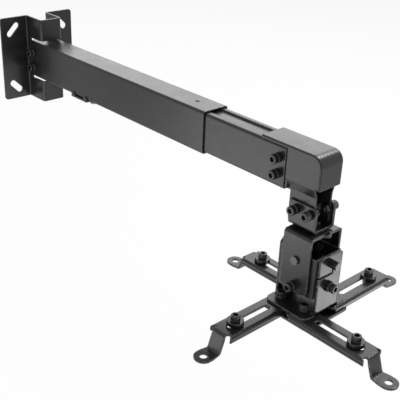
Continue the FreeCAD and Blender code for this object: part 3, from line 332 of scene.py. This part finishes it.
def hex_nut(across, tall):
    """A nut whose corners are turned off at both faces."""
    turned = Turned(72)
    half = across / 2
    turned.row(0.0, NUT_BORE + 0.25 * MM)
    turned.row(0.0, half * 0.96)
    cuts = [(depth * MM, half + depth * 1.35 * MM) for depth in (0.12, 0.3, 0.6)]
    for depth, limit in cuts:
        turned.row(depth, half, "nut", limit=limit)
    for depth, limit in reversed(cuts):
        turned.row(tall - depth, half, "nut", limit=limit)
    turned.row(tall, half * 0.96)
    turned.row(tall, NUT_BORE + 0.25 * MM)
    turned.row(tall - 0.3 * MM, NUT_BORE)
    turned.row(0.3 * MM, NUT_BORE)
    return turned


def washer(outer, tall):
    """A washer with rounded edges."""
    turned = Turned(48)
    soft = min(0.3 * MM, tall * 0.3)
    for height, radius in ((0.0, WASHER_BORE + soft), (0.0, outer - soft), (soft, outer),
                           (tall - soft, outer), (tall, outer - soft),
                           (tall, WASHER_BORE + soft), (tall - soft, WASHER_BORE),
                           (soft, WASHER_BORE)):
        turned.row(height, radius)
    return turned


# ---------------------------------------------------------------- places of the fasteners

def islands(node):
    """The points of each separate solid of a node, in metres."""
    mesh = NODES[node].data
    keys = {}
    parent = []
    index = []
    for vertex in mesh.vertices:
        key = tuple(round(value, 7) for value in vertex.co)
        if key not in keys:
            keys[key] = len(parent)
            parent.append(len(parent))
        index.append(keys[key])

    def root(item):
        while parent[item] != item:
            parent[item] = parent[parent[item]]
            item = parent[item]
        return item

    for edge in mesh.edges:
        first, second = (root(index[end]) for end in edge.vertices)
        parent[first] = second
    sets = {}
    for key, item in keys.items():
        sets.setdefault(root(item), []).append(Vector(key))
    return sorted(sets.values(), key=lambda points: tuple(points[0]))


def along(axis, length=1.0):
    """A vector of that length along an axis number."""
    way = Vector((0, 0, 0))
    way[axis] = length
    return way


def seat(centre, way, turn=0.0):
    """A place whose Z runs along a vector."""
    spin = along(Z).rotation_difference(way).to_matrix().to_4x4()
    return Matrix.Translation(centre) @ spin @ Matrix.Rotation(turn, 4, "Z")


def measure(points, axis):
    """Low and high along an axis number, the centre line and the radius at each end."""
    low = min(point[axis] for point in points)
    high = max(point[axis] for point in points)
    others = [number for number in (X, Y, Z) if number != axis]
    middle = Vector((0, 0, 0))
    for number in others:
        values = [point[number] for point in points]
        middle[number] = (min(values) + max(values)) / 2

    def radius(level):
        return max(math.hypot(*(point[number] - middle[number] for number in others))
                   for point in points if abs(point[axis] - level) < 0.2 * MM)

    return low, high, middle, radius(low), radius(high)


def add_screw(mesh, points, axis, turn):
    low, high, middle, low_radius, high_radius = measure(points, axis)
    if high_radius > low_radius:
        under_head, up = high - SCREW_HEAD, 1.0
    else:
        under_head, up = low + SCREW_HEAD, -1.0
    screw = cap_screw(max(low_radius, high_radius), min(low_radius, high_radius),
                      high - low - SCREW_HEAD)
    screw.build(mesh, seat(middle + along(axis, under_head), along(axis, up), turn))


def add_nut(mesh, points, axis):
    low, high, middle, _, _ = measure(points, axis)
    spans = [max(point[number] for point in points) - min(point[number] for point in points)
             for number in (X, Y, Z) if number != axis]
    corner = max(points, key=lambda point: (point - middle - along(axis, point[axis])).length)
    place = seat(middle + along(axis, low), along(axis))
    local = place.inverted() @ corner
    start = math.atan2(local.y, local.x) - math.pi / 6
    hex_nut(min(spans), high - low).build(mesh, place @ Matrix.Rotation(start, 4, "Z"),
                                          has_bore=True)


def add_washer(mesh, points, axis):
    low, high, middle, radius, _ = measure(points, axis)
    washer(radius, high - low).build(mesh, seat(middle + along(axis, low), along(axis)),
                                     has_bore=True)


def add_guide(mesh, points, axis, turn):
    low, high, middle, radius, _ = measure(points, axis)
    set_screw(radius, high - low).build(
        mesh, seat(middle + along(axis, high), along(axis), turn))


def detail(node, axis, add, first_turn=None, next_turn=1.1):
    """Replaces a node: add makes each of its solids anew, the screws each at its own turn."""
    mesh = bmesh.new()
    for number, points in enumerate(islands(node)):
        if first_turn is None:
            add(mesh, points, axis)
        else:
            add(mesh, points, axis, first_turn + next_turn * number)
    bmesh.ops.recalc_face_normals(mesh, faces=mesh.faces[:])
    data = bpy.data.meshes.new(f"{node}_detail")
    mesh.to_mesh(data)
    mesh.free()
    for face in data.polygons:
        face.use_smooth = True
    data.set_sharp_from_angle(angle=math.radians(35.0))
    piece = bpy.data.objects.new(f"{node}_detail", data)
    bpy.context.scene.collection.objects.link(piece)
    dress(piece, OXIDE)
    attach(piece, BODY_OF[node])
    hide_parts(node)


# ---------------------------------------------------------------- pieces and their materials

for thing in NODES.values():
    dress(thing, COAT)
for prefix, axis in (("wall_bolt", Y), ("elbow_bolt", Y), ("bracket_bolt", Y),
                     ("tilt_lock", Y), ("roll_lock", X), ("clamp", Z)):
    detail(f"{prefix}_screws", axis, add_screw, 0.3 + 0.5 * len(prefix))
    detail(f"{prefix}_washers", axis, add_washer)
    detail(f"{prefix}_nuts", axis, add_nut)
LEGS = ("front", "left", "rear", "right")
for name in LEGS:
    detail(f"slot_screw_{name}", Z, add_screw, 0.2 * len(name))
    detail(f"slot_washers_{name}", Z, add_washer)
    detail(f"slot_nut_{name}", Z, add_nut)
detail("tilt_pivot_nuts", Y, add_nut)
detail("roll_pivot_nuts", X, add_nut)
detail("guide_screw", Z, add_guide, 0.5)
for material, names in (
        (OXIDE, ("roll_pivot_pins", "swivel_bolt", "swivel_disc", "swivel_washer",
                 "swivel_nut")),
        (PIN, ("tilt_pivot_pins",)),
        (SLIDER, ("inner_arm",)),
        (PRESSED, ("yoke", "tilting_box", "carrier", "clamp_plate", "swivel_bracket")),
        (PRESSED, tuple(f"leg_{name}" for name in LEGS)),
        (NYLON, ("cable_clip",)),
        (NATURAL, ("clip_rivet",))):
    for node in names:
        dress(NODES[node], material)


# ---------------------------------------------------------------- studio

CAMERA_TURN, CAMERA_RISE, CAMERA_ROLL = (math.radians(value)
                                         for value in (46.653, 26.492, -2.487))
CAMERA_SPOT = Vector((941.16, -559.75, 312.02)) * MM
CAMERA_LENS = 69.48
FLOOR_LEVEL = -0.42
FLOOR_REACH = 30.0
FLOOR_GREY = (0.86, 0.86, 0.86, 1.0)
FLOOR_GLOW = 0.90       # the share of the floor that is plain white to the background's rays
FILL = 0.38             # the even light of the room
# Name, place, aim, size and watts, in metres.
LAMPS = (("back_softbox", (-0.90, 1.55, 1.10), (0.35, 0.0, 0.0), (2.4, 1.3), 21.0),
         ("top_softbox", (0.35, -0.10, 1.40), (0.35, 0.0, 0.0), (1.2, 0.9), 3.0),
         ("nose_softbox", (0.55, 1.00, 1.25), (0.52, 0.0, 0.0), (0.42, 0.28), 16.0),
         ("side_softbox", (0.16, -0.54, -0.32), (0.48, 0.0, -0.03), (0.60, 0.40), 1.8),
         ("right_softbox", (0.80, 0.30, -0.37), (0.565, 0.0, -0.13), (0.25, 0.14), 0.4),
         ("low_softbox", (0.92, -0.62, -0.38), (0.52, 0.0, -0.05), (0.20, 0.20), 1.5))


def camera():
    """The photograph's view: where it stands, where it looks and how it is rolled."""
    back = Vector((math.sin(CAMERA_TURN) * math.cos(CAMERA_RISE),
                   -math.cos(CAMERA_TURN) * math.cos(CAMERA_RISE), math.sin(CAMERA_RISE)))
    right = Vector((math.cos(CAMERA_TURN), math.sin(CAMERA_TURN), 0.0))
    up = back.cross(right)
    side = right * math.cos(CAMERA_ROLL) - up * math.sin(CAMERA_ROLL)
    top = right * math.sin(CAMERA_ROLL) + up * math.cos(CAMERA_ROLL)
    data = bpy.data.cameras.new("camera")
    data.sensor_width = 36.0
    data.lens = CAMERA_LENS
    data.clip_start = 0.01
    thing = bpy.data.objects.new("camera", data)
    bpy.context.scene.collection.objects.link(thing)
    place = Matrix((side, top, back)).transposed().to_4x4()
    place.translation = CAMERA_SPOT
    thing.matrix_world = place
    bpy.context.scene.camera = thing


def lamp(name, spot, aim, size, power):
    data = bpy.data.lights.new(name, "AREA")
    data.shape = "RECTANGLE"
    data.size, data.size_y = size
    data.energy = power
    thing = bpy.data.objects.new(name, data)
    bpy.context.scene.collection.objects.link(thing)
    spot = Vector(spot)
    facing = (Vector(aim) - spot).to_track_quat("-Z", "Y").to_matrix().to_4x4()
    thing.matrix_world = Matrix.Translation(spot) @ facing


def background_rays(tree):
    """1 for the rays that show the background: camera, gloss and transmission."""
    path = tree.nodes.new("ShaderNodeLightPath")
    share = path.outputs["Is Camera Ray"]
    for name in ("Is Glossy Ray", "Is Transmission Ray"):
        both = tree.nodes.new("ShaderNodeMath")
        both.operation = "MAXIMUM"
        tree.links.new(share, both.inputs[0])
        tree.links.new(path.outputs[name], both.inputs[1])
        share = both.outputs[0]
    return share


def show(tree, share, first, second, output):
    """Ends a node tree in a mix of two shaders."""
    mix = tree.nodes.new("ShaderNodeMixShader")
    out = tree.nodes.new(output)
    tree.links.new(share, mix.inputs[0])
    tree.links.new(first.outputs[0], mix.inputs[1])
    tree.links.new(second.outputs[0], mix.inputs[2])
    tree.links.new(mix.outputs[0], out.inputs["Surface"])


def floor():
    """A pale floor that takes the object's shadow and is nearly white to the camera."""
    mesh = bmesh.new()
    for x, y in ((-1, -1), (1, -1), (1, 1), (-1, 1)):
        mesh.verts.new((x * FLOOR_REACH, y * FLOOR_REACH, FLOOR_LEVEL))
    mesh.faces.new(mesh.verts[:])
    data = bpy.data.meshes.new("floor")
    mesh.to_mesh(data)
    mesh.free()
    thing = bpy.data.objects.new("floor", data)
    bpy.context.scene.collection.objects.link(thing)
    material = bpy.data.materials.new("floor")
    material.use_nodes = True
    tree = material.node_tree
    tree.nodes.clear()
    share = tree.nodes.new("ShaderNodeMath")
    share.operation = "MULTIPLY"
    share.inputs[1].default_value = FLOOR_GLOW
    tree.links.new(background_rays(tree), share.inputs[0])
    matt = tree.nodes.new("ShaderNodeBsdfDiffuse")
    matt.inputs["Color"].default_value = FLOOR_GREY
    glow = tree.nodes.new("ShaderNodeEmission")
    glow.inputs["Color"].default_value = WHITE
    show(tree, share.outputs[0], matt, glow, "ShaderNodeOutputMaterial")
    data.materials.append(material)


def world():
    """White to the camera and to gloss, and a soft even fill for everything else."""
    sky = bpy.data.worlds.new("studio")
    bpy.context.scene.world = sky
    sky.use_nodes = True
    tree = sky.node_tree
    tree.nodes.clear()
    lights = []
    for strength in (FILL, 1.0):
        light = tree.nodes.new("ShaderNodeBackground")
        light.inputs["Color"].default_value = WHITE
        light.inputs["Strength"].default_value = strength
        lights.append(light)
    show(tree, background_rays(tree), *lights, "ShaderNodeOutputWorld")


camera()
floor()
world()
for row in LAMPS:
    lamp(*row)

bpy.context.scene.view_settings.view_transform = "Standard"
